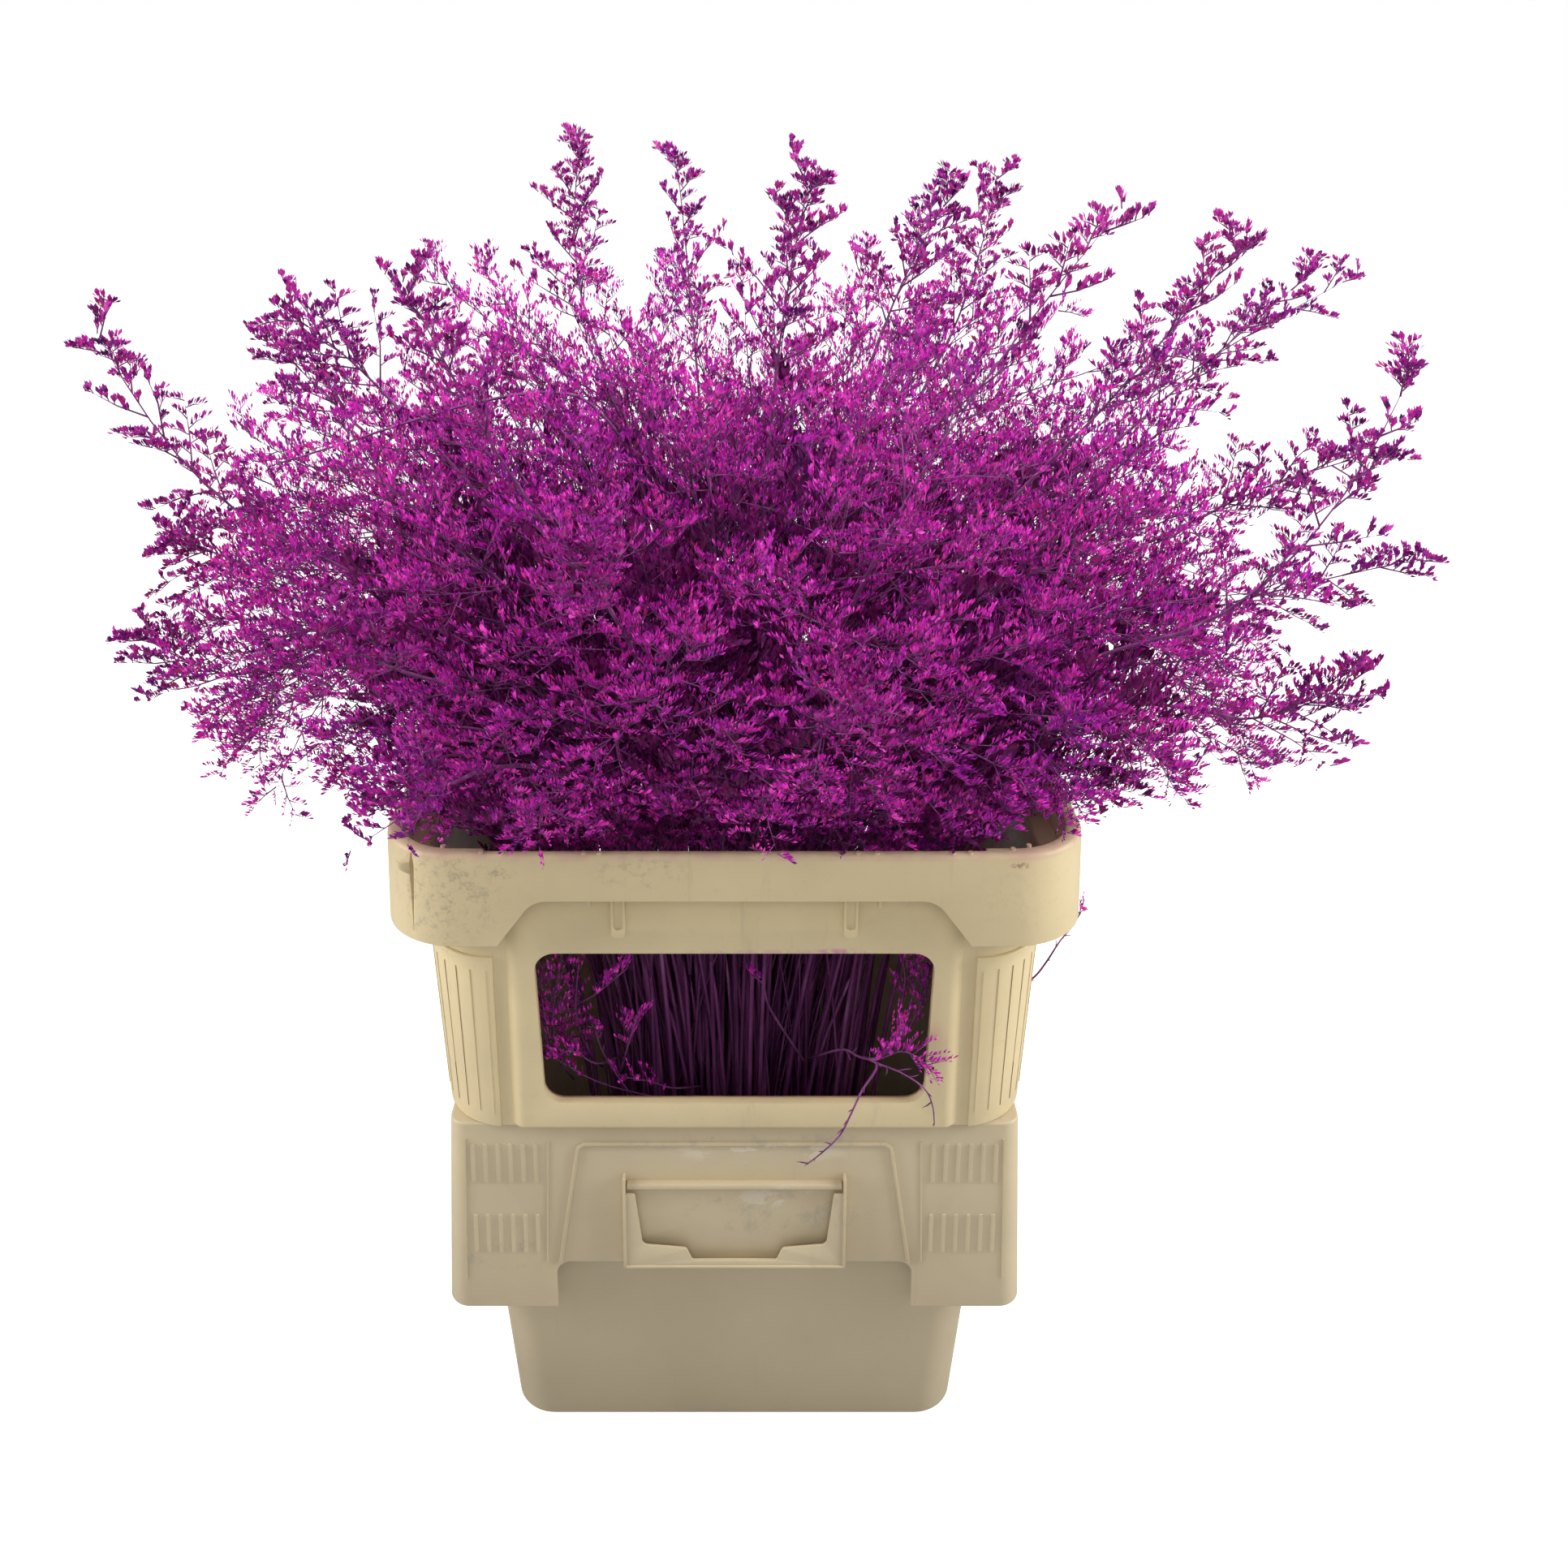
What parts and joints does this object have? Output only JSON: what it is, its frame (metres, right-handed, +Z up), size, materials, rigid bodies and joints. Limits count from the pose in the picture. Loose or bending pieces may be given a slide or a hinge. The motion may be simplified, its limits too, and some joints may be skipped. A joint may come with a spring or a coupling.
{
  "type": "dried statice in a flower bucket",
  "caption": "Dyed, dried statice: feathery branching stems standing in a tall plastic flower bucket with a windowed collar.",
  "frame": {"origin": "middle of the bucket's base, on the surface that it stands on", "axes": "+Z up, +X to the right of the front, -Y towards the viewer: the front has the label clip"},
  "size_m": [0.9465, 0.5883, 0.9401],
  "materials": {
    "bucket_plastic": "satin, scuffed",
    "collar_plastic": "satin, scuffed",
    "dyed_statice": "matte, dyed magenta"
  },
  "bodies": {
    "root": {"bucket": "bucket_plastic", "collar": "collar_plastic", "statice_stem_01": "dyed_statice", "statice_stem_02": "dyed_statice", "statice_stem_03": "dyed_statice", "statice_stem_04": "dyed_statice", "statice_stem_05": "dyed_statice", "statice_stem_06": "dyed_statice", "statice_stem_07": "dyed_statice", "statice_stem_08": "dyed_statice", "statice_stem_09": "dyed_statice", "statice_stem_10": "dyed_statice", "statice_stem_11": "dyed_statice", "statice_stem_12": "dyed_statice", "statice_stem_13": "dyed_statice", "statice_stem_14": "dyed_statice", "statice_stem_15": "dyed_statice", "statice_stem_16": "dyed_statice", "statice_stem_17": "dyed_statice", "statice_stem_18": "dyed_statice", "statice_stem_19": "dyed_statice", "statice_stem_20": "dyed_statice", "statice_stem_21": "dyed_statice", "statice_stem_22": "dyed_statice", "statice_stem_23": "dyed_statice", "statice_stem_24": "dyed_statice", "statice_stem_25": "dyed_statice", "statice_stem_26": "dyed_statice", "statice_stem_27": "dyed_statice", "statice_stem_28": "dyed_statice", "statice_stem_29": "dyed_statice"}
  },
  "joints": []
}
